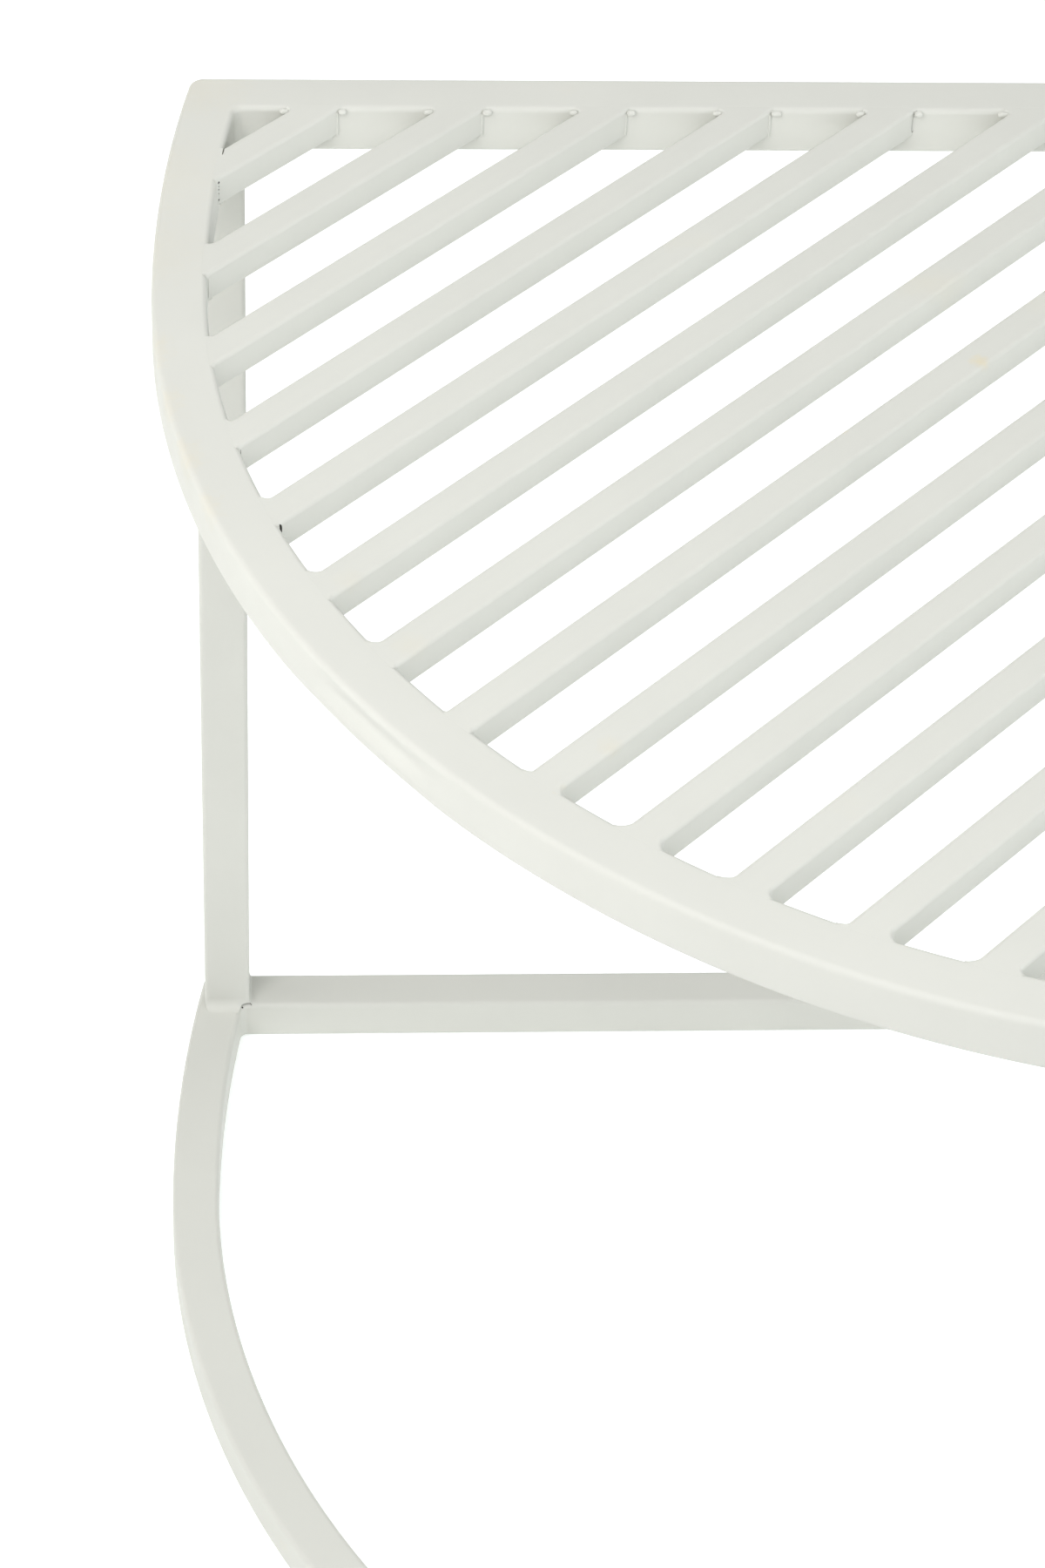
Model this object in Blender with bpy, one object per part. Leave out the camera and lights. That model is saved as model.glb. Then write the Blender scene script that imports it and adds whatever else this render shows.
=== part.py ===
"""Garden bench: a D-shaped slatted seat of welded square steel tube on three legs and a floor frame.

The bench stands on Z = 0 with the origin at the centre of its footprint. The straight back lies
along X on the +Y side and the half-round front faces -Y. The seat frame and the floor frame have
the same outline: one straight tube along the back and one bent tube around the sides and front,
mitred together at the two back corners. Diagonal slats fill the seat frame, flush with its top.
Every tube is hollow and open at its ends, as it is before welding.
"""

import math

import bpy
import bmesh
from mathutils import Matrix, Vector

# Overall sizes
SEAT_HEIGHT = 0.485
FRONT_RADIUS = 0.365        # outer face of the half-round front
SIDE_RADIUS = 0.613         # outer face of the flatter sides, from the widest point to the back
SIDE_DEPTH = 0.125          # from the back face to the widest point

# Frame tube, used for both frames and the legs
TUBE = 0.019
TUBE_WALL = 0.0015
TUBE_CORNER = 0.0019

# Slats
SLAT = 0.012
SLAT_WALL = 0.0012
SLAT_CORNER = 0.0013
SLAT_COUNT = 17
SLAT_PITCH = 0.0369         # between the centre lines of neighbouring slats
SLAT_ANGLE = math.radians(45)
FIRST_SLAT_OFFSET = 0.045   # from the outer back left corner to the shortest slat's centre line

# Fit and fineness
GAP = 0.0003                # between faces that are welded together on the real bench
OVERRUN = 0.03              # extra length that a cutter removes again
FRONT_STEPS = 60            # segments in the half-round front
SIDE_STEPS = 6              # segments in each flatter side
CORNER_STEPS = 2            # segments in each rounded corner of a tube's section
MERGE_DISTANCE = 0.00001
SMOOTH_ANGLE = math.radians(50)

# Derived places
DEPTH = SIDE_DEPTH + FRONT_RADIUS
BACK_Y = DEPTH / 2
ARC_CENTRE_Y = BACK_Y - SIDE_DEPTH
SIDE_CENTRE_X = SIDE_RADIUS - FRONT_RADIUS
SEAT_TUBE_Z = SEAT_HEIGHT - TUBE / 2
BASE_TUBE_Z = TUBE / 2
SLAT_Z = SEAT_HEIGHT - SLAT / 2

COAT_COLOUR = (0.76, 0.77, 0.72, 1.0)
COAT_ROUGHNESS = 0.42


def clear_scene():
    for item in list(bpy.data.objects):
        bpy.data.objects.remove(item, do_unlink=True)


def new_collection(name):
    collection = bpy.data.collections.new(name)
    bpy.context.scene.collection.children.link(collection)
    return collection


def powder_coat(name):
    """Satin off-white powder coat on steel."""
    material = bpy.data.materials.new(name + "_coat")
    material.use_nodes = True
    shader = material.node_tree.nodes["Principled BSDF"]
    shader.inputs["Base Color"].default_value = COAT_COLOUR
    shader.inputs["Roughness"].default_value = COAT_ROUGHNESS
    shader.inputs["Metallic"].default_value = 0.0
    material.diffuse_color = COAT_COLOUR
    return material


def curved_side(inset, back_inset):
    """Plan points from the back left corner round the front to the back right corner.

    The line lies inset from the bench's outer faces and starts and ends back_inset in from its
    back face. A negative back_inset runs it past the back.
    """
    side_radius = SIDE_RADIUS - inset
    front_radius = FRONT_RADIUS - inset
    start_angle = math.asin((SIDE_DEPTH - back_inset) / side_radius)
    left = []
    for step in range(SIDE_STEPS):
        angle = start_angle * (1 - step / SIDE_STEPS)
        x = SIDE_CENTRE_X - side_radius * math.cos(angle)
        y = ARC_CENTRE_Y + side_radius * math.sin(angle)
        left.append((x, y))
    front = []
    for step in range(FRONT_STEPS + 1):
        angle = math.pi * step / FRONT_STEPS
        x = -front_radius * math.cos(angle)
        y = ARC_CENTRE_Y - front_radius * math.sin(angle)
        front.append((x, y))
    right = [(-x, y) for x, y in reversed(left)]
    return left + front + right


def back_corner(inset):
    """Back right corner of the outline that lies inset from the bench's outer faces."""
    x, y = curved_side(inset, inset)[-1]
    return Vector((x, y, 0))


def rounded_square(size, corner):
    """Points of a square section with rounded corners, or plain corners if corner is 0."""
    if corner == 0:
        half = size / 2
        return [(half, half), (-half, half), (-half, -half), (half, -half)]
    flat = size / 2 - corner
    points = []
    for quarter in range(4):
        middle = math.pi / 4 + quarter * math.pi / 2
        centre_x = math.copysign(flat, math.cos(middle))
        centre_y = math.copysign(flat, math.sin(middle))
        for step in range(CORNER_STEPS + 1):
            angle = (quarter + step / CORNER_STEPS) * math.pi / 2
            x = centre_x + corner * math.cos(angle)
            y = centre_y + corner * math.sin(angle)
            points.append((x, y))
    return points


def poly_curve(name, points, dimensions, cyclic):
    curve = bpy.data.curves.new(name, "CURVE")
    curve.dimensions = dimensions
    spline = curve.splines.new("POLY")
    spline.points.add(len(points) - 1)
    for spline_point, point in zip(spline.points, points):
        spline_point.co = (*point, 1.0)
    spline.use_cyclic_u = cyclic
    return curve


def mesh_from_curve(name, curve, collection):
    """Replace a curve object by one closed mesh object of the same shape."""
    guide = bpy.data.objects.new(name + "_guide", curve)
    collection.objects.link(guide)
    depsgraph = bpy.context.evaluated_depsgraph_get()
    mesh = bpy.data.meshes.new_from_object(guide.evaluated_get(depsgraph))
    mesh.name = name
    solid = bpy.data.objects.new(name, mesh)
    solid.matrix_world = guide.matrix_world
    collection.objects.link(solid)
    bpy.data.objects.remove(guide, do_unlink=True)
    shell = bmesh.new()
    shell.from_mesh(mesh)
    bmesh.ops.remove_doubles(shell, verts=shell.verts, dist=MERGE_DISTANCE)
    bmesh.ops.recalc_face_normals(shell, faces=shell.faces)
    shell.to_mesh(mesh)
    shell.free()
    return solid


def swept_bar(name, path, size, corner, collection):
    """Solid bar of square section along a path of 3D points."""
    section = [(x, y, 0) for x, y in rounded_square(size, corner)]
    profile = bpy.data.objects.new(name + "_profile", poly_curve(name, section, "2D", True))
    collection.objects.link(profile)
    curve = poly_curve(name, path, "3D", False)
    curve.twist_mode = "Z_UP"
    curve.bevel_mode = "OBJECT"
    curve.bevel_object = profile
    curve.use_fill_caps = True
    bar = mesh_from_curve(name, curve, collection)
    bpy.data.objects.remove(profile, do_unlink=True)
    return bar


def hide_cutter(cutter):
    cutter.hide_render = True
    cutter.display_type = "WIRE"


def add_boolean(solid, cutter, operation):
    modifier = solid.modifiers.new(operation.title(), "BOOLEAN")
    modifier.operation = operation
    modifier.solver = "EXACT"
    modifier.object = cutter


def lengthened(path, extra):
    """The same path with its first and last points moved outwards."""
    first, second = Vector(path[0]), Vector(path[1])
    last, before_last = Vector(path[-1]), Vector(path[-2])
    start = first + (first - second).normalized() * extra
    end = last + (last - before_last).normalized() * extra
    return [start, *path[1:-1], end]


def square_tube(name, path, size, wall, corner, parts, cutters):
    """Hollow tube of square section along a path, open at both ends."""
    tube = swept_bar(name, path, size, corner, parts)
    bore = swept_bar(name + "_bore", lengthened(path, OVERRUN), size - 2 * wall, 0, cutters)
    hide_cutter(bore)
    add_boolean(tube, bore, "DIFFERENCE")
    tube.data.materials.append(powder_coat(name))
    tube.data.shade_smooth()
    tube.data.set_sharp_from_angle(angle=SMOOTH_ANGLE)
    return tube


def mitre_cutter(name, side, keeps_back_tube, height, cutters):
    """Block that removes all of a tube beyond the mitre at one back corner.

    side is 1 at the right corner and -1 at the left one. The block takes half a gap off the tube
    that is kept, which is the back tube or the bent one.
    """
    outer = back_corner(0)
    inner = back_corner(TUBE)
    seam = (outer - inner).normalized()
    towards_back_tube = Vector((-seam.y, seam.x, 0))
    away = -towards_back_tube if keeps_back_tube else towards_back_tube
    block_size = 4 * OVERRUN
    centre = (outer + inner) / 2 + away * (block_size / 2 - GAP / 2)
    block = bmesh.new()
    bmesh.ops.create_cube(block, size=block_size)
    turn = Matrix.Rotation(math.atan2(away.y, away.x), 4, "Z")
    bmesh.ops.transform(block, matrix=Matrix.Translation(centre) @ turn, verts=block.verts)
    if side < 0:
        bmesh.ops.transform(block, matrix=Matrix.Diagonal((-1, 1, 1, 1)), verts=block.verts)
        bmesh.ops.reverse_faces(block, faces=block.faces)
    bmesh.ops.translate(block, vec=(0, 0, height), verts=block.verts)
    mesh = bpy.data.meshes.new(name)
    block.to_mesh(mesh)
    block.free()
    cutter = bpy.data.objects.new(name, mesh)
    cutters.objects.link(cutter)
    hide_cutter(cutter)
    return cutter


def d_frame(prefix, back_name, curved_name, height, parts, cutters):
    """One D-shaped frame: a straight back tube and a bent tube, mitred at the back corners."""
    corner_x = back_corner(0).x
    back_line_y = BACK_Y - TUBE / 2
    back_path = [(-corner_x - OVERRUN, back_line_y, height), (corner_x + OVERRUN, back_line_y, height)]
    curved_path = [(x, y, height) for x, y in curved_side(TUBE / 2, -OVERRUN)]
    back = square_tube(back_name, back_path, TUBE, TUBE_WALL, TUBE_CORNER, parts, cutters)
    curved = square_tube(curved_name, curved_path, TUBE, TUBE_WALL, TUBE_CORNER, parts, cutters)
    for side, side_name in ((-1, "left"), (1, "right")):
        for tube, keeps_back in ((back, True), (curved, False)):
            kept = "back" if keeps_back else "curved"
            cutter_name = f"{prefix}_mitre_{side_name}_{kept}"
            cutter = mitre_cutter(cutter_name, side, keeps_back, height, cutters)
            add_boolean(tube, cutter, "DIFFERENCE")


def seat_opening(cutters):
    """Solid that fills the seat frame, a gap short of its inner faces."""
    inset = TUBE + GAP
    curve = poly_curve("seat_opening", [(x, y, 0) for x, y in curved_side(inset, inset)], "2D", True)
    curve.fill_mode = "BOTH"
    curve.extrude = TUBE
    opening = mesh_from_curve("seat_opening", curve, cutters)
    opening.location.z = SLAT_Z
    hide_cutter(opening)
    return opening


def slat_path(offset):
    """Centre line of the slat that lies offset from the outer back left corner.

    It is longer than the seat is wide, for the seat opening to trim.
    """
    along = Vector((math.cos(SLAT_ANGLE), math.sin(SLAT_ANGLE), 0))
    across = Vector((along.y, -along.x, 0))
    corner = Vector((-back_corner(0).x, BACK_Y, SLAT_Z))
    centre = corner + across * offset
    centre -= along * (centre.x * along.x + centre.y * along.y)
    reach = FRONT_RADIUS + SIDE_DEPTH
    return [centre - along * reach, centre + along * reach]


def build_slats(parts, cutters):
    opening = seat_opening(cutters)
    for number in range(1, SLAT_COUNT + 1):
        path = slat_path(FIRST_SLAT_OFFSET + (number - 1) * SLAT_PITCH)
        name = f"slat_{number:02d}"
        slat = square_tube(name, path, SLAT, SLAT_WALL, SLAT_CORNER, parts, cutters)
        add_boolean(slat, opening, "INTERSECT")


def build_legs(parts, cutters):
    corner_leg_x = back_corner(0).x - TUBE / 2
    back_leg_y = BACK_Y - TUBE / 2
    front_leg_y = TUBE / 2 - BACK_Y
    feet = {
        "leg_back_left": (-corner_leg_x, back_leg_y),
        "leg_back_right": (corner_leg_x, back_leg_y),
        "leg_front": (0, front_leg_y),
    }
    for name, (x, y) in feet.items():
        path = [(x, y, TUBE + GAP), (x, y, SEAT_HEIGHT - TUBE - GAP)]
        square_tube(name, path, TUBE, TUBE_WALL, TUBE_CORNER, parts, cutters)


def build_bench():
    clear_scene()
    parts = new_collection("garden_bench")
    cutters = new_collection("cutters")
    d_frame("seat", "seat_back_tube", "seat_curved_tube", SEAT_TUBE_Z, parts, cutters)
    build_slats(parts, cutters)
    build_legs(parts, cutters)
    d_frame("floor", "floor_back_tube", "floor_curved_tube", BASE_TUBE_Z, parts, cutters)


build_bench()
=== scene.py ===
import math
import random

import bpy
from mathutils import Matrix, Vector


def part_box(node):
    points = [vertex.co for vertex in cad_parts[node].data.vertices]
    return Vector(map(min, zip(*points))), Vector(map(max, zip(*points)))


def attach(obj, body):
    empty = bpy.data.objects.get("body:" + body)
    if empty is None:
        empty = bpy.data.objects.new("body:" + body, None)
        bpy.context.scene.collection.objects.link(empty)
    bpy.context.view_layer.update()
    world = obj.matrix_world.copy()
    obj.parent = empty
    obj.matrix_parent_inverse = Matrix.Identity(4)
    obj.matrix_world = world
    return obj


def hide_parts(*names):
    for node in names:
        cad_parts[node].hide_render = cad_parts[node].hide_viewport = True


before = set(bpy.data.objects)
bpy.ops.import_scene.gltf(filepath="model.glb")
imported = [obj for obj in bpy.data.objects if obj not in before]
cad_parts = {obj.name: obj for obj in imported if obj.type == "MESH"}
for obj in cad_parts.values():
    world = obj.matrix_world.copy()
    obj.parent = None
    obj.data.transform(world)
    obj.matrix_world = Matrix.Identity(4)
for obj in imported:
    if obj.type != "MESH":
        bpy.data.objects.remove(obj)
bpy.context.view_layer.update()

# ---------------------------------------------------------------- sizes read from the frame
MM = 0.001

LEG_LOW, LEG_HIGH = [Vector(corner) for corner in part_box("leg_back_left")]
RIM_LOW, RIM_HIGH = [Vector(corner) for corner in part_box("seat_curved_tube")]
SLAT_LOW, SLAT_HIGH = [Vector(corner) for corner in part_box("slat_01")]

TUBE = LEG_HIGH.x - LEG_LOW.x
SLAT = SLAT_HIGH.z - SLAT_LOW.z
SEAT_TOP = RIM_HIGH.z
BACK_Y = LEG_HIGH.y
CORNER_X = -LEG_LOW.x
FRONT_RADIUS = RIM_HIGH.x
ARC_Y = RIM_LOW.y + FRONT_RADIUS
SIDE_BULGE = FRONT_RADIUS - CORNER_X
SIDE_DEPTH = BACK_Y - ARC_Y
SIDE_RADIUS = (SIDE_BULGE ** 2 + SIDE_DEPTH ** 2) / (2 * SIDE_BULGE)
SIDE_X = SIDE_RADIUS - FRONT_RADIUS

# Details finer than the CAD solids
TUBE_ROUND = 2.1 * MM            # rounded edges of the frame tube
SLAT_ROUND = 1.5 * MM            # rounded edges of the slats
OUTER_CORNER = 5.5 * MM          # ground back corners of both frames, seen from above
INNER_CORNER = 3.4 * MM
SLAT_EMBED = 3.0 * MM            # how far a slat's end runs into the frame
FACE_GAP = 0.02 * MM             # keeps the faces of touching pieces off one plane


def link_object(obj):
    bpy.context.scene.collection.objects.link(obj)
    return obj


def mesh_object(name, vertices, faces):
    mesh = bpy.data.meshes.new(name)
    mesh.from_pydata(vertices, [], faces)
    mesh.validate()
    mesh.shade_smooth()
    return link_object(bpy.data.objects.new(name, mesh))


SHARP_ANGLE = math.radians(40)
FACE_WEIGHT = 80


def finish_shading(obj):
    """Flat faces stay flat beside their rounded edges."""
    obj.data.set_sharp_from_angle(angle=SHARP_ANGLE)
    weighted = obj.modifiers.new("Weighted Normal", "WEIGHTED_NORMAL")
    weighted.mode = "FACE_AREA"
    weighted.weight = FACE_WEIGHT
    weighted.keep_sharp = True


# ---------------------------------------------------------------- the D-shaped outline
SIDE_STEPS = 20                  # steps along each side, the half-round front, a corner, the back
FRONT_STEPS = 300
CORNER_STEPS = 12
BACK_STEPS = 40


def outline(inset, corner):
    """Closed D outline as (point, outward normal) pairs, starting halfway round the left corner.

    Outlines of any inset have the same number of pairs, so they match one to one.
    """
    side_radius = SIDE_RADIUS - inset
    front_radius = FRONT_RADIUS - inset
    corner_y = BACK_Y - inset - corner
    corner_reach = math.sqrt((side_radius - corner) ** 2 - (corner_y - ARC_Y) ** 2)
    corner_x = corner_reach - SIDE_X
    side_end = math.atan2(corner_y - ARC_Y, corner_reach)

    def on_circle(centre_x, centre_y, radius, angle):
        normal = Vector((math.cos(angle), math.sin(angle), 0))
        return Vector((centre_x, centre_y, 0)) + normal * radius, normal

    right = []
    for step in range(SIDE_STEPS):
        right.append(on_circle(-SIDE_X, ARC_Y, side_radius, side_end * step / SIDE_STEPS))
    for step in range(CORNER_STEPS + 1):
        angle = side_end + (math.pi / 2 - side_end) * step / CORNER_STEPS
        right.append(on_circle(corner_x, corner_y, corner, angle))
    left = [(Vector((-p.x, p.y, 0)), Vector((-n.x, n.y, 0))) for p, n in reversed(right)]
    front = []
    for step in range(1, FRONT_STEPS):
        angle = math.pi + math.pi * step / FRONT_STEPS
        front.append(on_circle(0, ARC_Y, front_radius, angle))
    back = []
    for step in range(1, BACK_STEPS):
        x = corner_x * (1 - 2 * step / BACK_STEPS)
        back.append((Vector((x, BACK_Y - inset, 0)), Vector((0, 1, 0))))
    ring = left + front + right + back
    half_corner = CORNER_STEPS // 2
    return ring[half_corner:] + ring[:half_corner]


def curved_columns():
    """How many outline pairs belong to the bent tube, from mitre to mitre."""
    return 2 * (SIDE_STEPS + CORNER_STEPS // 2) + FRONT_STEPS + 1


INNER_RING = outline(TUBE, INNER_CORNER)     # the inner wall of both frames


# ---------------------------------------------------------------- frame tubes
ROUND_STEPS = 5                  # steps round each rounded edge
OUTER_WALL_ROWS = 42             # rows up the outer wall, close enough for the bending marks
FLAT_ROWS = 3                    # rows across each of the other walls


def section_rows():
    """Section of the frame tube as (wall, depth from that wall, height from mid-height, lerp).

    wall is 0 for the outer wall, 1 for the inner wall, and 2 on the flats between them, where
    lerp runs from the outer wall to the inner one.
    """
    half = TUBE / 2
    flat = half - TUBE_ROUND
    rows = []

    def rounding(wall, sign, rising):
        for step in range(ROUND_STEPS + 1):
            share = step / ROUND_STEPS if rising else 1 - step / ROUND_STEPS
            angle = share * math.pi / 2
            depth = TUBE_ROUND * (1 - math.cos(angle))
            rows.append((wall, depth, sign * (flat + TUBE_ROUND * math.sin(angle)), 0))

    for step in range(1, OUTER_WALL_ROWS):
        rows.append((0, 0, flat * (2 * step / OUTER_WALL_ROWS - 1), 0))
    rounding(0, 1, True)
    for step in range(1, FLAT_ROWS):
        rows.append((2, 0, half, step / FLAT_ROWS))
    rounding(1, 1, False)
    for step in range(1, FLAT_ROWS):
        rows.append((1, 0, flat * (1 - 2 * step / FLAT_ROWS), 0))
    rounding(1, -1, True)
    for step in range(1, FLAT_ROWS):
        rows.append((2, 0, -half, 1 - step / FLAT_ROWS))
    rounding(0, -1, False)
    return rows


def no_dent(point, height):
    return 0.0


# Marks of the bending rolls on the seat's outer face: where the middle lies round the front in
# degrees, half the length in degrees, height above mid-height, rise per degree, how far the mark
# spreads up and down from there, and its depth, all lengths in millimetres.
BENDING_MARKS = (
    (36.2, 4.0, 1.8, 0.00, 3.80, 4.0, 1.60),
    (35.2, 5.4, -9.3, 0.05, 3.60, 2.0, 0.70),
    (34.2, 1.1, -3.2, -0.60, 1.40, 1.4, 0.22),
    (142.5, 3.6, 1.8, 0.00, 3.80, 4.0, 1.10),
    (145.0, 4.4, -9.3, 0.05, 3.60, 2.0, 0.50),
)


def bending_marks(point, height):
    """How deep the outer wall is pressed in at a point of the outline and a height."""
    angle = math.degrees(math.atan2(ARC_Y - point.y, -point.x))
    total = 0.0
    for middle, reach, level, rise, spread_up, spread_down, deep in BENDING_MARKS:
        along = (angle - middle) / reach
        above = height / MM - level - rise * (angle - middle)
        up = above / (spread_up if above > 0 else spread_down)
        total += deep * MM * math.exp(-along ** 4 - up ** 2)
    return total


def frame_tube(name, mid_height, columns, dent=no_dent):
    """One tube of a D frame, over a run of matching outer and inner outline pairs."""
    rows = section_rows()
    vertices = []
    for (outer, outer_normal), (inner, inner_normal) in columns:
        outer_flat = outer - outer_normal * TUBE_ROUND
        inner_flat = inner + inner_normal * TUBE_ROUND
        for wall, depth, height, lerp in rows:
            if wall == 0:
                point = outer - outer_normal * (depth + dent(outer, height))
            elif wall == 1:
                point = inner + inner_normal * depth
            else:
                point = outer_flat.lerp(inner_flat, lerp)
            vertices.append((point.x, point.y, mid_height + height))
    count = len(rows)
    faces = []
    for column in range(len(columns) - 1):
        start = column * count
        for row in range(count):
            following = (row + 1) % count
            faces.append((start + row, start + count + row, start + count + following,
                          start + following))
    faces.append(tuple(range(count)))
    last = (len(columns) - 1) * count
    faces.append(tuple(reversed(range(last, last + count))))
    tube = mesh_object(name, vertices, faces)
    finish_shading(tube)
    return tube


def d_frame(back_name, curved_name, mid_height, dent=no_dent):
    """The straight and the bent tube of one frame, mitred at the back corners."""
    outer = outline(0, OUTER_CORNER)
    pairs = list(zip(outer, INNER_RING))
    curved = frame_tube(curved_name, mid_height, pairs[:curved_columns()], dent)
    back = frame_tube(back_name, mid_height, pairs[curved_columns() - 1:] + pairs[:1])
    return back, curved


# ---------------------------------------------------------------- slats
SLAT_ALONG = Vector((1, 1, 0)).normalized()
SLAT_ACROSS = Vector((1, -1, 0)).normalized()
FILLET_STEPS = 8
FILLET_FULLNESS = 0.7            # 1 for a round fillet, 0 for a straight one
MITRE_LIMIT = 0.4                # keeps the inset of a sharp corner in bounds

# Range of the fillets at a back right end, on the upper and the lower side, in millimetres
BACK_UPPER_REACH = (2.2, 3.0)
BACK_LOWER_REACH = (0.3, 0.5)

# Reach of the ground weld fillets at each slat's front left end, in millimetres: of the upper
# side along the slat and along the frame, then of the lower side along the slat and the frame.
FRONT_WELDS = (
    (0.5, 0.4, 1.2, 0.9), (2.9, 1.3, 0.7, 0.6), (1.8, 0.8, 2.0, 1.5), (1.0, 1.5, 0.6, 0.6),
    (3.2, 2.8, 0.6, 0.6), (3.9, 3.4, 1.6, 1.2), (3.6, 3.4, 1.0, 0.9), (0.5, 0.5, 1.4, 1.2),
    (1.5, 2.8, 2.8, 2.2), (4.3, 3.6, 3.6, 3.0), (2.8, 4.2, 3.4, 2.8), (1.5, 3.2, 4.2, 3.4),
    (3.2, 3.0, 2.4, 2.2), (1.4, 1.8, 1.6, 1.4), (2.8, 3.4, 2.0, 1.6), (3.6, 2.6, 1.4, 1.0),
    (1.8, 2.2, 2.2, 1.8),
)


def slat_offset(node):
    """Where the slat's centre line lies, measured across the slats from the origin."""
    across = [vertex.co.dot(SLAT_ACROSS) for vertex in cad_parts[node].data.vertices]
    return (min(across) + max(across)) / 2


def wall_hit(offset, end):
    """Where a line along the slats meets the frame's inner wall, the wall's direction and normal.

    end is -1 for the front left end and 1 for the back right end.
    """
    for index, (a, outward) in enumerate(INNER_RING):
        b = INNER_RING[(index + 1) % len(INNER_RING)][0]
        across_a = a.dot(SLAT_ACROSS) - offset
        across_b = b.dot(SLAT_ACROSS) - offset
        if across_a * across_b > 0 or across_a == across_b:
            continue
        if outward.dot(SLAT_ALONG) * end > 0:
            point = a.lerp(b, across_a / (across_a - across_b))
            return point, (b - a).normalized(), outward
    raise ValueError("the line misses the frame")


def fillet(offset, side, end, slat_reach, wall_reach):
    """Weld fillet between a slat's side and the frame's inner wall, from slat to wall.

    side is 1 or -1 across the slat. Ends with a point inside the frame.
    """
    corner, wall, outward = wall_hit(offset + side * SLAT / 2, end)
    along = SLAT_ALONG * -end
    away = wall if wall.dot(SLAT_ACROSS) * side > 0 else -wall
    start = corner + along * slat_reach
    finish = corner + away * wall_reach
    weight = FILLET_FULLNESS * math.sin(along.angle(away) / 2)
    points = []
    for step in range(FILLET_STEPS + 1):
        t = step / FILLET_STEPS
        parts = ((1 - t) ** 2, 2 * weight * t * (1 - t), t ** 2)
        blend = start * parts[0] + corner * parts[1] + finish * parts[2]
        points.append(blend / sum(parts))
    points.append(finish + outward * SLAT_EMBED)
    return points


def inset_loop(points, distance):
    """The loop moved inwards by a distance; the loop runs anticlockwise."""
    moved = []
    count = len(points)
    for index, point in enumerate(points):
        before = (point - points[index - 1]).normalized()
        after = (points[(index + 1) % count] - point).normalized()
        inward_before = Vector((-before.y, before.x, 0))
        inward_after = Vector((-after.y, after.x, 0))
        share = max(MITRE_LIMIT, 1 + inward_before.dot(inward_after))
        moved.append(point + (inward_before + inward_after) * (distance / share))
    return moved


def rounded_plate(name, loop, top, thickness, rounding):
    """Plate with rounded top and bottom edges from an anticlockwise loop."""
    levels = []
    for step in range(ROUND_STEPS + 1):
        angle = math.pi / 2 * (1 - step / ROUND_STEPS)
        inset = rounding * (1 - math.cos(angle))
        levels.append((inset, top - rounding * (1 - math.sin(angle))))
    levels += [(inset, 2 * top - thickness - height) for inset, height in reversed(levels)]
    vertices = []
    for inset, height in levels:
        vertices += [(p.x, p.y, height) for p in inset_loop(loop, inset)]
    count = len(loop)
    faces = [tuple(range(count))]
    for level in range(len(levels) - 1):
        start = level * count
        for index in range(count):
            following = (index + 1) % count
            faces.append((start + following, start + index, start + count + index,
                          start + count + following))
    last = (len(levels) - 1) * count
    faces.append(tuple(reversed(range(last, last + count))))
    plate = mesh_object(name, vertices, faces)
    finish_shading(plate)
    return plate


def slat_piece(name, offset, welds, rng):
    """A slat with its ground weld fillets; welds gives the reaches at its front left end."""
    upper_slat, upper_wall, lower_slat, lower_wall = [reach * MM for reach in welds]
    back_upper = rng.uniform(*BACK_UPPER_REACH) * MM
    back_lower = rng.uniform(*BACK_LOWER_REACH) * MM
    loop = []
    loop += fillet(offset, 1, -1, lower_slat, lower_wall)[::-1]
    loop += fillet(offset, 1, 1, back_lower, back_lower)
    loop += fillet(offset, -1, 1, back_upper, back_upper)[::-1]
    loop += fillet(offset, -1, -1, upper_slat, upper_wall)
    return rounded_plate(name, loop, SEAT_TOP - FACE_GAP, SLAT, SLAT_ROUND)


# ---------------------------------------------------------------- weld beads and pores
BEAD_SIDES = 10
BEAD_CAP_STEPS = 4
BEAD_LUMPS = (0.86, 1.12)        # how much a bead's radius varies along it

# The unground beads of a slat, lengths in millimetres. The side bead runs up beside the back end.
SIDE_BEAD_RADIUS = 0.62
SIDE_BEAD_STEP = 1.1
SIDE_BEAD_ALONG, SIDE_BEAD_ACROSS = 0.85, 0.22
SIDE_BEAD_LOW, SIDE_BEAD_HIGH = 0.9, 2.1
# The bead under each end runs across most of the slat's width.
UNDER_BEAD_RADIUS = 1.25
UNDER_BEAD_STEP = 1.6
UNDER_BEAD_OUT = 0.5
UNDER_BEAD_DROP = 0.25
UNDER_BEAD_SPAN = (0.16, 0.80)
# The lumps in the back corners: side of the slat and distance from its corner along the frame.
CORNER_LUMPS = ((-1, 3.0), (1, 1.4))
LUMP_RADIUS = 1.15
LUMP_OUT = 0.75
LUMP_DROP = 1.30
LUMP_SLIDE = (-0.3, 0.3)
LUMP_HALF = (0.4, 0.8)


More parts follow.
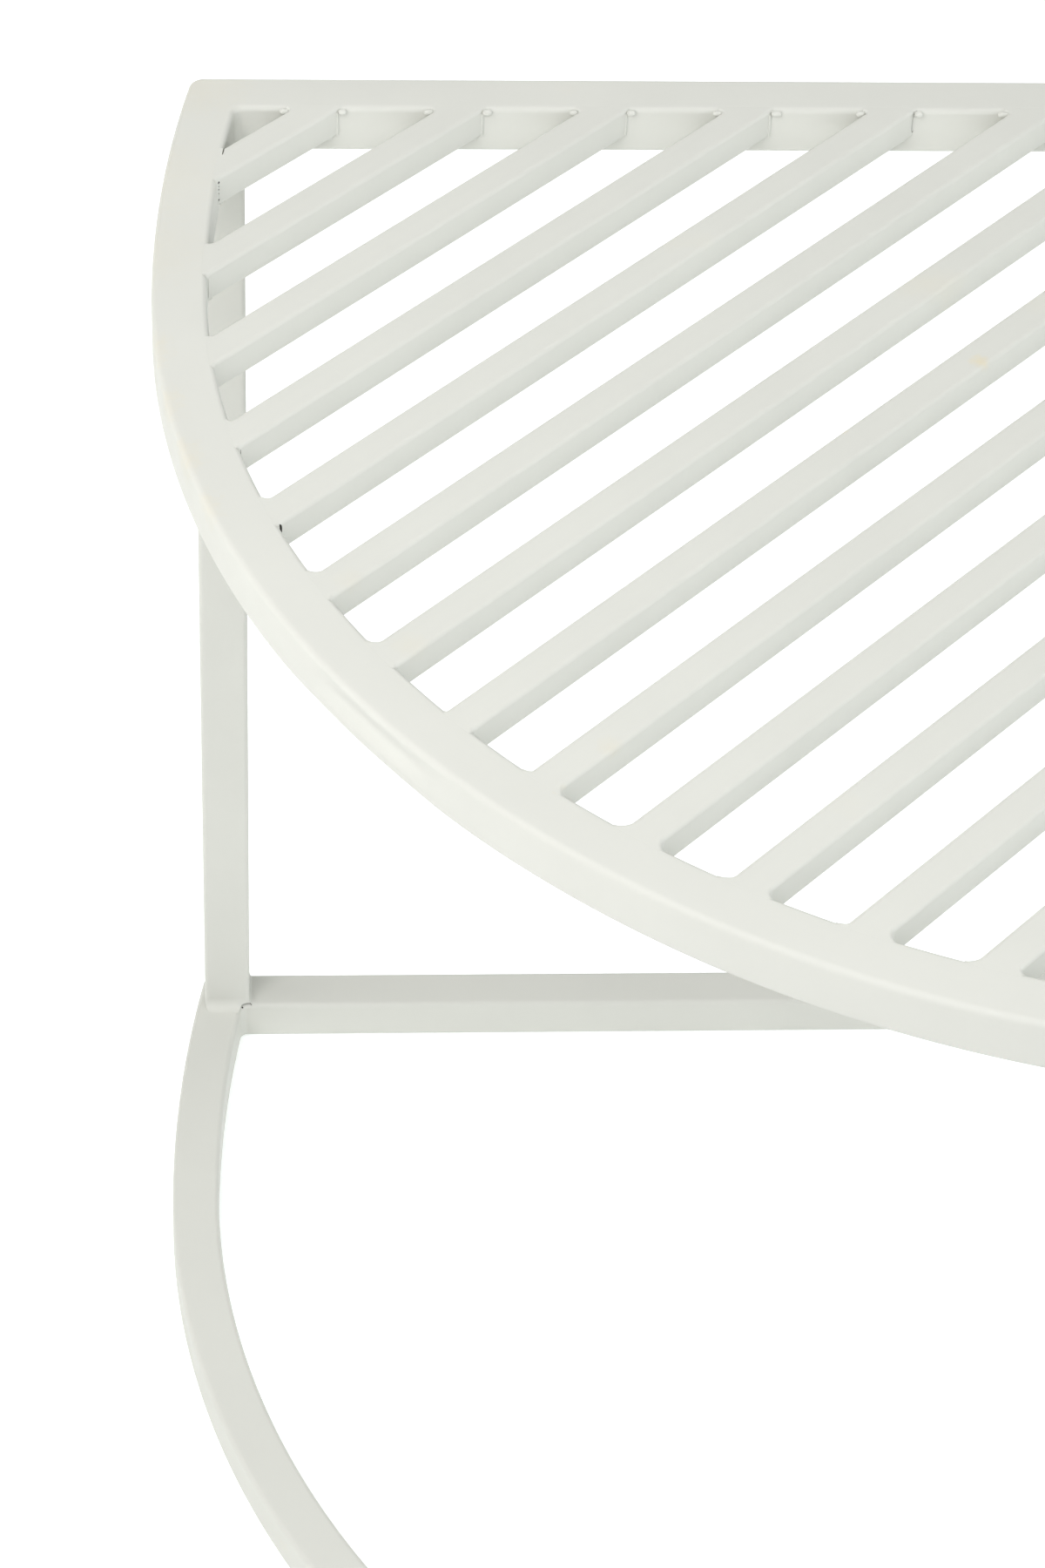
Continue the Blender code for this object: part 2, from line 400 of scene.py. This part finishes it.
def bead_shell(path, radius, rng, vertices, faces):
    """Adds a closed, slightly lumpy weld bead along a path of points."""
    direction = (path[-1] - path[0]).normalized()
    side = direction.orthogonal().normalized()
    other = direction.cross(side)
    rings = []
    for step in range(1, BEAD_CAP_STEPS):
        angle = math.pi / 2 * step / BEAD_CAP_STEPS
        rings.append((path[0] - direction * radius * math.cos(angle), radius * math.sin(angle)))
    for point in path:
        rings.append((point, radius * rng.uniform(*BEAD_LUMPS)))
    for step in range(1, BEAD_CAP_STEPS):
        angle = math.pi / 2 * step / BEAD_CAP_STEPS
        rings.append((path[-1] + direction * radius * math.sin(angle), radius * math.cos(angle)))
    first = len(vertices)
    vertices.append(tuple(path[0] - direction * radius))
    for centre, size in rings:
        for corner in range(BEAD_SIDES):
            angle = 2 * math.pi * corner / BEAD_SIDES
            vertices.append(tuple(centre + (side * math.cos(angle) + other * math.sin(angle)) * size))
    last = len(vertices)
    vertices.append(tuple(path[-1] + direction * radius))
    for corner in range(BEAD_SIDES):
        following = (corner + 1) % BEAD_SIDES
        faces.append((first, first + 1 + following, first + 1 + corner))
        for ring in range(len(rings) - 1):
            start = first + 1 + ring * BEAD_SIDES
            faces.append((start + corner, start + following, start + BEAD_SIDES + following,
                          start + BEAD_SIDES + corner))
        start = last - BEAD_SIDES
        faces.append((start + corner, start + following, last))


def straight_path(start, end, spacing):
    """Evenly spaced points from start to end, at least three."""
    steps = max(2, round((end - start).length / spacing))
    return [start.lerp(end, step / steps) for step in range(steps + 1)]


def slat_welds(name, offset, side_bead, rng):
    """The unground beads beside a slat's back end, under both ends, and in its back corners."""
    vertices, faces = [], []
    if side_bead:
        corner, _, _ = wall_hit(offset + SLAT / 2, 1)
        foot = corner - SLAT_ALONG * SIDE_BEAD_ALONG * MM - SLAT_ACROSS * SIDE_BEAD_ACROSS * MM
        low = Vector((foot.x, foot.y, SEAT_TOP - SLAT + SIDE_BEAD_LOW * MM))
        high = Vector((foot.x, foot.y, SEAT_TOP - SIDE_BEAD_HIGH * MM))
        path = straight_path(low, high, SIDE_BEAD_STEP * MM)
        bead_shell(path, SIDE_BEAD_RADIUS * MM, rng, vertices, faces)
    for end in (-1, 1):
        upper, _, outward = wall_hit(offset - SLAT / 2, end)
        lower, _, _ = wall_hit(offset + SLAT / 2, end)
        level = Vector((0, 0, SEAT_TOP - SLAT - UNDER_BEAD_DROP * MM))
        start, finish = [upper.lerp(lower, share) - outward * UNDER_BEAD_OUT * MM + level
                         for share in UNDER_BEAD_SPAN]
        path = straight_path(start, finish, UNDER_BEAD_STEP * MM)
        bead_shell(path, UNDER_BEAD_RADIUS * MM, rng, vertices, faces)
    for side, reach in CORNER_LUMPS:
        corner, wall, outward = wall_hit(offset + side * SLAT / 2, 1)
        away = wall if wall.dot(SLAT_ACROSS) * side > 0 else -wall
        slide = reach + rng.uniform(*LUMP_SLIDE)
        centre = corner + away * slide * MM - outward * LUMP_OUT * MM
        centre.z = SEAT_TOP - LUMP_DROP * MM
        half = away * rng.uniform(*LUMP_HALF) * MM
        path = [centre - half, centre, centre + half]
        bead_shell(path, LUMP_RADIUS * MM, rng, vertices, faces)
    return mesh_object(name, vertices, faces)


PORE_SIDES, PORE_RINGS = 16, 10


def ellipsoid(centre, axis, radii):
    """Closed ellipsoid with one level axis along the given direction; for cutting pores."""
    across = Vector((-axis.y, axis.x, 0))
    rounds, rings = PORE_SIDES, PORE_RINGS
    vertices = [tuple(centre - Vector((0, 0, radii[2])))]
    for ring in range(1, rings):
        polar = math.pi * ring / rings
        for corner in range(rounds):
            angle = 2 * math.pi * corner / rounds
            spread = axis * radii[0] * math.cos(angle) + across * radii[1] * math.sin(angle)
            level = Vector((0, 0, -radii[2] * math.cos(polar)))
            vertices.append(tuple(centre + spread * math.sin(polar) + level))
    vertices.append(tuple(centre + Vector((0, 0, radii[2]))))
    faces = []
    last = len(vertices) - 1
    for corner in range(rounds):
        following = (corner + 1) % rounds
        faces.append((0, 1 + following, 1 + corner))
        for ring in range(rings - 2):
            start = 1 + ring * rounds
            faces.append((start + corner, start + following, start + rounds + following,
                          start + rounds + corner))
        start = last - rounds
        faces.append((start + corner, start + following, last))
    return mesh_object("pit", vertices, faces)


def cut_pits(piece, pits, coat):
    """Cuts open pores into a piece; the insides of bare ones take its second material, near-black
    bare steel that also paints in the shade deep in a pore.

    The boolean works on the mesh before the weighted normals, which stay a modifier.
    """
    for centre, axis, radii, bare_and_shaded in pits:
        cutter = ellipsoid(centre, axis, radii)
        cutter.data.materials.append(coat)
        cutter.data.materials.append(BARE_STEEL_AND_SHADE)
        for polygon in cutter.data.polygons:
            # the insides of bare pores are painted near black, standing in for their shade
            polygon.material_index = 1 if bare_and_shaded else 0
        boolean = piece.modifiers.new("Pit", "BOOLEAN")
        boolean.operation = "DIFFERENCE"
        boolean.solver = "EXACT"
        boolean.object = cutter
        piece.modifiers.move(len(piece.modifiers) - 1, 0)
        bpy.context.view_layer.update()
        weighted = piece.modifiers["Weighted Normal"]
        weighted.show_viewport = False
        evaluated = piece.evaluated_get(bpy.context.evaluated_depsgraph_get())
        carved = bpy.data.meshes.new_from_object(evaluated)
        weighted.show_viewport = True
        if not carved.polygons:
            raise ValueError(f"cutting a pore emptied {piece.name}")
        piece.modifiers.remove(boolean)
        piece.data = carved
        bpy.data.objects.remove(cutter)


# ---------------------------------------------------------------- legs
FOOT_RISE = 4.6 * MM             # height of the weld fillets round a foot
HEAD_RISE = 2.2 * MM             # and under the seat
FACE_STEPS = 12                  # steps across each face of a leg
LEG_STEPS = 24                   # and up its straight part
LEG_EMBED = 0.5 * MM             # how far a leg's ends run into the frames
NOTCH_LIFT = 1.0 * MM            # open gap under the foot's inner front corner
NOTCH_EDGE = (-1.6 * MM, 0.4 * MM)   # where the gap opens, measured past the frame's inner edge
NOTCH_FACING = (0.2, 0.8)        # and how far a surface must face the front


def smooth_share(value, start, end):
    """0 before start and 1 past end, with a smooth rise between them."""
    share = min(1.0, max(0.0, (value - start) / (end - start)))
    return share * share * (3 - 2 * share)


def leg_section(centre):
    """Section of a leg as (x, y, outward x, outward y), anticlockwise."""
    flat = TUBE / 2 - TUBE_ROUND
    section = []
    for quarter in range(4):
        middle = math.pi / 4 + quarter * math.pi / 2
        corner_x = math.copysign(flat, math.cos(middle))
        corner_y = math.copysign(flat, math.sin(middle))
        for step in range(ROUND_STEPS + 1):
            angle = (quarter + step / ROUND_STEPS) * math.pi / 2
            out_x, out_y = math.cos(angle), math.sin(angle)
            section.append((centre.x + corner_x + TUBE_ROUND * out_x,
                            centre.y + corner_y + TUBE_ROUND * out_y, out_x, out_y))
        out_x, out_y = -math.sin(quarter * math.pi / 2), math.cos(quarter * math.pi / 2)
        for step in range(1, FACE_STEPS):
            slide = 2 * flat * step / FACE_STEPS
            section.append((centre.x + corner_x + TUBE_ROUND * out_x - slide * out_y,
                            centre.y + corner_y + TUBE_ROUND * out_y + slide * out_x, out_x, out_y))
    return section


def inner_edge_x(y):
    """Distance from the bench's middle to the frame's inner wall at a depth y."""
    return math.sqrt((SIDE_RADIUS - TUBE) ** 2 - (y - ARC_Y) ** 2) - SIDE_X


def leg_piece(name, node, foot, head):
    """A leg with weld fillets flaring out where it meets both frames.

    foot and head give the reach of the fillets towards +x, -x, +y and -y.
    """
    low, high = [Vector(corner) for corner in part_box(node)]
    centre = (low + high) / 2
    section = leg_section(centre)
    edge = inner_edge_x(low.y)
    mirror = -1 if centre.x < 0 else 1

    def overhang(x, out_y):
        """1 where the foot's front corner stands past the frame's inner edge."""
        if abs(centre.x) < TUBE:
            return 0.0
        inward = smooth_share(edge - mirror * x, *NOTCH_EDGE)
        return inward * smooth_share(-out_y, *NOTCH_FACING)

    def flare(reaches, out_x, out_y):
        right, left, back, front = reaches
        return (right * max(0, out_x) - left * max(0, -out_x),
                back * max(0, out_y) - front * max(0, -out_y))

    floor_top = TUBE - FACE_GAP
    seat_bottom = SEAT_TOP - TUBE + FACE_GAP
    levels = [(floor_top - LEG_EMBED, 1.0, foot)]
    for step in range(FILLET_STEPS + 1):
        angle = math.pi / 2 * step / FILLET_STEPS
        levels.append((floor_top + FOOT_RISE * (1 - math.cos(angle)), 1 - math.sin(angle), foot))
    straight_low, straight_high = floor_top + FOOT_RISE, seat_bottom - HEAD_RISE
    for step in range(1, LEG_STEPS):
        levels.append((straight_low + (straight_high - straight_low) * step / LEG_STEPS, 0.0, head))
    for step in range(FILLET_STEPS, -1, -1):
        angle = math.pi / 2 * step / FILLET_STEPS
        levels.append((seat_bottom - HEAD_RISE * (1 - math.cos(angle)), 1 - math.sin(angle), head))
    levels.append((seat_bottom + LEG_EMBED, 1.0, head))

    vertices = []
    for height, share, reaches in levels:
        above = (height - levels[0][0]) / (FOOT_RISE + LEG_EMBED)
        for x, y, out_x, out_y in section:
            hang = overhang(x, out_y) if height < straight_low else 0.0
            move_x, move_y = flare(reaches, out_x, out_y)
            keep = share * (1 - hang)
            lift = hang * (NOTCH_LIFT + LEG_EMBED) * (1 - above)
            vertices.append((x + move_x * keep, y + move_y * keep, height + max(0.0, lift)))
    count = len(section)
    faces = [tuple(reversed(range(count)))]
    for level in range(len(levels) - 1):
        start = level * count
        for index in range(count):
            following = (index + 1) % count
            faces.append((start + index, start + following, start + count + following,
                          start + count + index))
    faces.append(tuple(range((len(levels) - 1) * count, len(levels) * count)))
    leg = mesh_object(name, vertices, faces)
    finish_shading(leg)
    return leg


# ---------------------------------------------------------------- powder coat
COAT = (0.522, 0.527, 0.482)
COAT_SPREAD = 0.015              # how far the coat's shade drifts either way
STAIN = (0.568, 0.512, 0.360)

STAIN_FRAY = 1.1                 # how ragged a stain's edge is, as a share of its radius
STAIN_FADE = (0.75, 1.55)        # where a stain starts and ends to fade, with the fray on top

# Faint yellow stains in the coat: where, radius and strength, lengths in millimetres.
STAINS = {
    "slat_coat": (
        ((-84.5, 79.1, 485.0), 4.2, 0.75),
        ((-134.8, 42.1, 485.0), 2.2, 0.60),
        ((-221.8, -111.6, 485.0), 5.0, 0.20),
        ((-281.9, -64.4, 485.0), 7.0, 0.13),
        ((-300.5, -33.1, 485.0), 6.0, 0.11),
        ((-236.5, -129.5, 485.0), 2.0, 0.30),
        ((62.0, 120.0, 485.0), 4.0, 0.40),
    ),
    "frame_coat": (
        ((-351.0, 240.0, 486.0), 24.0, 0.14),
        ((-367.0, 185.0, 488.0), 30.0, 0.12),
        ((-369.0, 140.0, 488.0), 26.0, 0.12),
        ((-370.0, 85.0, 488.0), 14.0, 0.34),
        ((-366.0, 55.0, 488.0), 14.0, 0.38),
        ((-359.0, 28.0, 488.0), 14.0, 0.38),
        ((-350.5, 2.0, 488.0), 12.0, 0.32),
        ((-239.0, -131.5, 485.0), 1.6, 0.25),
    ),
    "floor_frame_coat": (
        ((-290.0, -120.0, 14.0), 12.0, 0.25),
    ),
}


def powder_coat(name, seed):
    """Matt powder coat with drifting shade and gloss, stains, orange peel and shallow waves."""
    material = bpy.data.materials.new(name)
    material.use_nodes = True
    nodes = material.node_tree.nodes
    links = material.node_tree.links
    shader = nodes["Principled BSDF"]
    shader.inputs["IOR"].default_value = 1.5
    shader.inputs["Specular IOR Level"].default_value = 0.24
    coords = nodes.new("ShaderNodeTexCoord")
    place = nodes.new("ShaderNodeMapping")
    place.inputs["Location"].default_value = (seed * 3.1, seed * 1.7, seed * 2.3)
    links.new(coords.outputs["Object"], place.inputs["Vector"])

    def noise_node(scale, detail):
        node = nodes.new("ShaderNodeTexNoise")
        node.inputs["Scale"].default_value = scale
        node.inputs["Detail"].default_value = detail
        links.new(place.outputs["Vector"], node.inputs["Vector"])
        return node

    def ramp_node(source, low, high):
        node = nodes.new("ShaderNodeMapRange")
        node.inputs["From Min"].default_value = low
        node.inputs["From Max"].default_value = high
        links.new(source, node.inputs["Value"])
        return node

    def mix_node(factor, first, second):
        node = nodes.new("ShaderNodeMix")
        node.data_type = "RGBA"
        links.new(factor, node.inputs["Factor"])
        for socket, value in ((6, first), (7, second)):     # the two colours' sockets
            if isinstance(value, tuple):
                node.inputs[socket].default_value = (*value, 1.0)
            else:
                links.new(value, node.inputs[socket])
        return node.outputs[2]

    def bump_node(source, strength, distance):
        node = nodes.new("ShaderNodeBump")
        node.inputs["Strength"].default_value = strength
        node.inputs["Distance"].default_value = distance
        links.new(source, node.inputs["Height"])
        return node

    broad = noise_node(scale=18.0, detail=4.0)
    shade = ramp_node(broad.outputs["Fac"], low=0.3, high=0.7)
    darker = tuple(channel * (1 - COAT_SPREAD) for channel in COAT)
    lighter = tuple(channel * (1 + COAT_SPREAD) for channel in COAT)
    tint = mix_node(shade.outputs["Result"], darker, lighter)
    patches = noise_node(scale=9.0, detail=5.0)
    stain = ramp_node(patches.outputs["Fac"], low=0.66, high=0.78)
    stain.inputs["To Max"].default_value = 0.35
    stained = mix_node(stain.outputs["Result"], tint, STAIN)

    ragged = noise_node(scale=420.0, detail=3.0)
    for place_mm, radius, strength in STAINS.get(name, ()):
        distance = nodes.new("ShaderNodeVectorMath")
        distance.operation = "DISTANCE"
        distance.inputs[1].default_value = [value * MM for value in place_mm]
        links.new(coords.outputs["Object"], distance.inputs[0])
        frayed = nodes.new("ShaderNodeMath")
        frayed.operation = "MULTIPLY_ADD"
        frayed.inputs[1].default_value = radius * MM * STAIN_FRAY
        links.new(ragged.outputs["Fac"], frayed.inputs[0])
        links.new(distance.outputs["Value"], frayed.inputs[2])
        near, far = [radius * MM * share for share in STAIN_FADE]
        spot = ramp_node(frayed.outputs["Value"], near, far)
        spot.inputs["To Min"].default_value = strength
        spot.inputs["To Max"].default_value = 0.0
        stained = mix_node(spot.outputs["Result"], stained, STAIN)
    links.new(stained, shader.inputs["Base Color"])

    gloss = noise_node(scale=60.0, detail=3.0)
    rough = ramp_node(gloss.outputs["Fac"], low=0.3, high=0.7)
    rough.inputs["To Min"].default_value = 0.48
    rough.inputs["To Max"].default_value = 0.62
    links.new(rough.outputs["Result"], shader.inputs["Roughness"])

    peel = noise_node(scale=620.0, detail=2.0)
    peel_bump = bump_node(peel.outputs["Fac"], strength=0.25, distance=0.06 * MM)
    wave = noise_node(scale=70.0, detail=2.0)
    wave_bump = bump_node(wave.outputs["Fac"], strength=0.3, distance=0.3 * MM)
    links.new(peel_bump.outputs["Normal"], wave_bump.inputs["Normal"])
    links.new(wave_bump.outputs["Normal"], shader.inputs["Normal"])
    return material


def bare_steel_and_shade():
    """Bare steel scale inside the pores that the coat did not reach, made near black so it also
    paints in the shade deep in each pore.
    """
    material = bpy.data.materials.new("bare_steel_and_shade")
    material.use_nodes = True
    nodes = material.node_tree.nodes
    links = material.node_tree.links
    shader = nodes["Principled BSDF"]
    shader.inputs["Roughness"].default_value = 0.8
    grain = nodes.new("ShaderNodeTexNoise")
    grain.inputs["Scale"].default_value = 900.0
    colours = nodes.new("ShaderNodeValToRGB")
    # near black: real bare scale, darkened further as painted shade of the deep holes
    colours.color_ramp.elements[0].color = (0.012, 0.012, 0.011, 1)
    colours.color_ramp.elements[1].color = (0.07, 0.06, 0.05, 1)
    links.new(grain.outputs["Fac"], colours.inputs["Fac"])
    links.new(colours.outputs["Color"], shader.inputs["Base Color"])
    pores = nodes.new("ShaderNodeBump")
    pores.inputs["Strength"].default_value = 0.5
    pores.inputs["Distance"].default_value = 0.1 * MM
    links.new(grain.outputs["Fac"], pores.inputs["Height"])
    links.new(pores.outputs["Normal"], shader.inputs["Normal"])
    return material


# ---------------------------------------------------------------- assembling the pieces
# Second material of the pieces with pores: bare steel, darkened to stand in for the shade inside them
# (painted shade)
BARE_STEEL_AND_SHADE = bare_steel_and_shade()
COATS = {}
for number, slot in enumerate(("frame_coat", "slat_coat", "leg_coat", "floor_frame_coat")):
    COATS[slot] = powder_coat(slot, number)


def coated(piece, slot):
    """Gives a piece its coat and its body; every piece rides on the one body there is."""
    piece.data.materials.append(COATS[slot])
    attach(piece, "root")


def stands_for(piece, slot, *nodes):
    """A coated piece that is shown instead of CAD nodes."""
    coated(piece, slot)
    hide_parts(*nodes)


seat_back, seat_curved = d_frame("seat_back", "seat_curve", SEAT_TOP - TUBE / 2, bending_marks)
stands_for(seat_back, "frame_coat", "seat_back_tube")
stands_for(seat_curved, "frame_coat", "seat_curved_tube")
floor_back, floor_curved = d_frame("floor_back", "floor_curve", TUBE / 2)
stands_for(floor_back, "floor_frame_coat", "floor_back_tube")
stands_for(floor_curved, "floor_frame_coat", "floor_curved_tube")
for tube in (floor_back, floor_curved):
    # second material: bare steel painted near black as the shade inside the foot pores
    tube.data.materials.append(BARE_STEEL_AND_SHADE)


def front_corner(offset, side, inward, along_wall, drop):
    """A point at a slat's front left end: from the corner along the slat and the wall, and down."""
    corner, wall, _ = wall_hit(offset + side * SLAT / 2, -1)
    downhill = wall if wall.y < 0 else -wall
    point = corner + SLAT_ALONG * inward * MM + downhill * along_wall * MM
    return Vector((point.x, point.y, SEAT_TOP - drop * MM)), downhill


# Pores and open seams at the slats' front left ends, by the slat's number, lengths in millimetres:
# side of the slat, distance from its corner along the slat and along the frame, depth under the
# top, radii along the axis, across it and upright, whether bare and painted near black as the
# pore's shade, and whether the axis follows the frame rather than the slat.
FRONT_PITS = {
    1: (
        (-1, 0.20, 2.2, 0.5, (2.80, 0.30, 1.30), False, True),
        (1, 0.75, 0.0, 1.9, (0.46, 0.46 * 1.4, 0.46), True, False),
        (1, 0.75, 0.0, 3.6, (0.22, 0.22 * 1.4, 0.22), True, False),
        (1, 0.75, 0.0, 4.9, (0.30, 0.30 * 1.4, 0.30), True, False),
        (1, 0.75, 0.0, 6.6, (0.22, 0.22 * 1.4, 0.22), True, False),
        (1, 0.75, 0.0, 9.3, (0.38, 0.38 * 1.4, 0.38), True, False),
    ),
    2: ((1, 0.35, 0.0, 6.2, (0.20, 0.80, 4.60), False, False),),
    4: ((1, 0.60, 0.1, 3.6, (0.15, 1.00, 2.30), True, False),),
    5: ((1, 0.72, 0.2, 2.8, (0.78, 2.20, 2.30), True, False),),
}

# The slat whose back end has an open crevice and no bead beside it: how far the crevice's middle
# lies along the slat, its depth under the top and its radii, all in millimetres
OPEN_CREVICE = 5
CREVICE_ALONG, CREVICE_DROP = 0.35, 5.6
CREVICE_RADII = (0.95, 1.7, 3.9)


def slat_pits(number, offset):
    """Pores and open seams in a slat's welds, as (centre, level axis, radii, whether bare and painted
    near black as shade).
    """
    pits = []
    for side, inward, along_wall, drop, radii, bare_and_shaded, follows_frame in FRONT_PITS.get(number, ()):
        centre, downhill = front_corner(offset, side, inward, along_wall, drop)
        axis = downhill if follows_frame else SLAT_ALONG
        pits.append((centre, axis, [radius * MM for radius in radii], bare_and_shaded))
    if number == OPEN_CREVICE:
        corner, _, _ = wall_hit(offset + SLAT / 2, 1)
        centre = corner - SLAT_ALONG * CREVICE_ALONG * MM
        centre.z = SEAT_TOP - CREVICE_DROP * MM
        pits.append((centre, SLAT_ALONG, [radius * MM for radius in CREVICE_RADII], True))
    return pits


WELD_SEED = 7
weld_rng = random.Random(WELD_SEED)
slat_nodes = sorted(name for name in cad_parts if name.startswith("slat_"))
for number, (node, front_welds) in enumerate(zip(slat_nodes, FRONT_WELDS, strict=True), 1):
    offset = slat_offset(node)
    slat = slat_piece(node.replace("slat_", "seat_slat_"), offset, front_welds, weld_rng)
    stands_for(slat, "slat_coat", node)
    # second material: bare steel painted near black as the shade inside the pores
    slat.data.materials.append(BARE_STEEL_AND_SHADE)
    cut_pits(slat, slat_pits(number, offset), COATS["slat_coat"])
    has_side_bead = number != OPEN_CREVICE
    beads = slat_welds(node.replace("slat_", "slat_welds_"), offset, has_side_bead, weld_rng)
    coated(beads, "slat_coat")

# The open pore where a back foot, the back tube and the curved tube meet: how far its middle lies
# inside the frame's inner edge, in front of the leg and under the tubes' top, and its radii
PORE_INSET, PORE_FORWARD, PORE_DROP = 0.3 * MM, 0.4 * MM, 0.7 * MM
PORE_RADII = (0.45 * MM, 0.40 * MM, 0.5 * MM)

# The gap in the foot beside the pore: how far its middle lies inside the frame's inner edge and
# above the tubes' top, and its radii
GAP_INSET, GAP_LIFT = 1.9 * MM, 0.31 * MM
GAP_RADII = (2.63 * MM, 1.57 * MM, 1.03 * MM)

foot_edge = inner_edge_x(LEG_LOW.y)
sideways = Vector((1, 0, 0))
for side in (-1, 1):
    pore = Vector((side * (foot_edge - PORE_INSET), LEG_LOW.y - PORE_FORWARD, TUBE - PORE_DROP))
    for tube in (floor_curved, floor_back):
        cut_pits(tube, [(pore, sideways, PORE_RADII, True)], COATS["floor_frame_coat"])

# Reach of the weld fillets round the legs' ends, towards +x, -x, +y and -y
left_foot = (1.2 * MM, 0, 0, 4.2 * MM)
left_head = (2.0 * MM, 0, 0, 2.0 * MM)
right_foot = (0, 1.2 * MM, 0, 4.2 * MM)
right_head = (0, 2.0 * MM, 0, 2.0 * MM)
front_weld = (2.4 * MM, 2.4 * MM, 0, 0)

# Legs: piece, CAD node, fillets at the foot and the head, and on which side of the bench they are
legs = (
    ("upright_back_left", "leg_back_left", left_foot, left_head, -1),
    ("upright_back_right", "leg_back_right", right_foot, right_head, 1),
    ("upright_front", "leg_front", front_weld, front_weld, 0),
)
for name, node, foot, head, side in legs:
    leg = leg_piece(name, node, foot, head)
    stands_for(leg, "leg_coat", node)
    # second material: bare steel painted near black as the shade inside the gap under the foot
    leg.data.materials.append(BARE_STEEL_AND_SHADE)
    if side:
        gap = Vector((side * (foot_edge - GAP_INSET), LEG_LOW.y, TUBE + GAP_LIFT))
        cut_pits(leg, [(gap, sideways, GAP_RADII, True)], COATS["leg_coat"])


# ---------------------------------------------------------------- floor, light and camera
FLOOR_HALF = 6.0
FLOOR_DROP = 0.2 * MM            # keeps the floor and the tubes' undersides off one plane


def studio_floor():
    """A pale floor, bright enough to come out pure white around the bench as in the photo."""
    corners = ((-1, -1), (1, -1), (1, 1), (-1, 1))
    vertices = [(x * FLOOR_HALF, y * FLOOR_HALF, 0) for x, y in corners]
    floor = mesh_object("studio_floor", vertices, [(0, 1, 2, 3)])
    floor.location.z = -FLOOR_DROP
    material = bpy.data.materials.new("studio_floor")
    material.use_nodes = True
    shader = material.node_tree.nodes["Principled BSDF"]
    shader.inputs["Base Color"].default_value = (0.9, 0.9, 0.9, 1)
    shader.inputs["Roughness"].default_value = 0.9
    shader.inputs["Specular IOR Level"].default_value = 0.0
    shader.inputs["Emission Color"].default_value = (0.93, 1.0, 0.97, 1)
    shader.inputs["Emission Strength"].default_value = 0.296
    floor.data.materials.append(material)


def area_light(name, place, size, power, colour):
    """A square light aimed at the middle of the bench."""
    light = bpy.data.lights.new(name, "AREA")
    light.size = size
    light.energy = power
    light.color = colour
    lamp = link_object(bpy.data.objects.new(name, light))
    lamp.location = place
    lamp.rotation_euler = (LIGHT_TARGET - Vector(place)).to_track_quat("-Z", "Y").to_euler()


LIGHT_TARGET = Vector((0, 0, 0.3))
WORLD_STRENGTH = 0.219
WARM = (1.0, 0.971, 0.995)
PLAIN = (1.0, 1.0, 1.0)
COOL = (0.942, 0.966, 1.0)

# The studio's lights: place, width, power and colour
LIGHTS = (
    ("near_left", (-1.1, -1.1, 1.5), 1.2, 13.4, WARM),
    ("near_left_low", (-0.7, -0.7, 1.3), 0.7, 2.9, WARM),
    ("overhead_left", (-0.9, -0.2, 1.9), 1.2, 9.7, PLAIN),
    ("overhead_front", (0.0, -1.6, 1.9), 1.2, 9.7, COOL),
    ("beside_camera", (-0.5, -1.5, 1.9), 0.8, 4.3, COOL),
    ("behind", (0.0, 1.6, 1.6), 1.6, 10.2, PLAIN),
    ("left", (-2.0, 0.4, 0.9), 1.4, 15.4, PLAIN),
    ("right_low", (2.4, 0.2, 1.2), 1.6, 6.1, COOL),
    ("right_front", (2.2, -1.2, 1.0), 1.2, 26.0, COOL),
    ("right", (2.2, -0.4, 1.9), 1.4, 21.3, COOL),
)


def studio_light():
    world = bpy.data.worlds.new("studio")
    bpy.context.scene.world = world
    world.use_nodes = True
    background = world.node_tree.nodes["Background"]
    background.inputs["Color"].default_value = (1, 1, 1, 1)
    background.inputs["Strength"].default_value = WORLD_STRENGTH
    for light in LIGHTS:
        area_light(*light)


# The camera that took the photo, solved from the bench's straight tubes and even slats:
# place, turn in degrees, lens and sensor in millimetres, and how far it sees
CAMERA_PLACE = (-0.3306, -1.1190, 1.4234)
CAMERA_TURN = (46.615, -2.1525, -2.6543)
CAMERA_LENS = 103.45
CAMERA_SENSOR = 36
CAMERA_REACH = 50


def camera():
    data = bpy.data.cameras.new("camera")
    data.sensor_width = CAMERA_SENSOR
    data.lens = CAMERA_LENS
    data.clip_end = CAMERA_REACH
    eye = link_object(bpy.data.objects.new("camera", data))
    eye.location = CAMERA_PLACE
    eye.rotation_euler = [math.radians(angle) for angle in CAMERA_TURN]
    bpy.context.scene.camera = eye


studio_floor()
studio_light()
camera()
bpy.context.scene.view_settings.view_transform = "Standard"
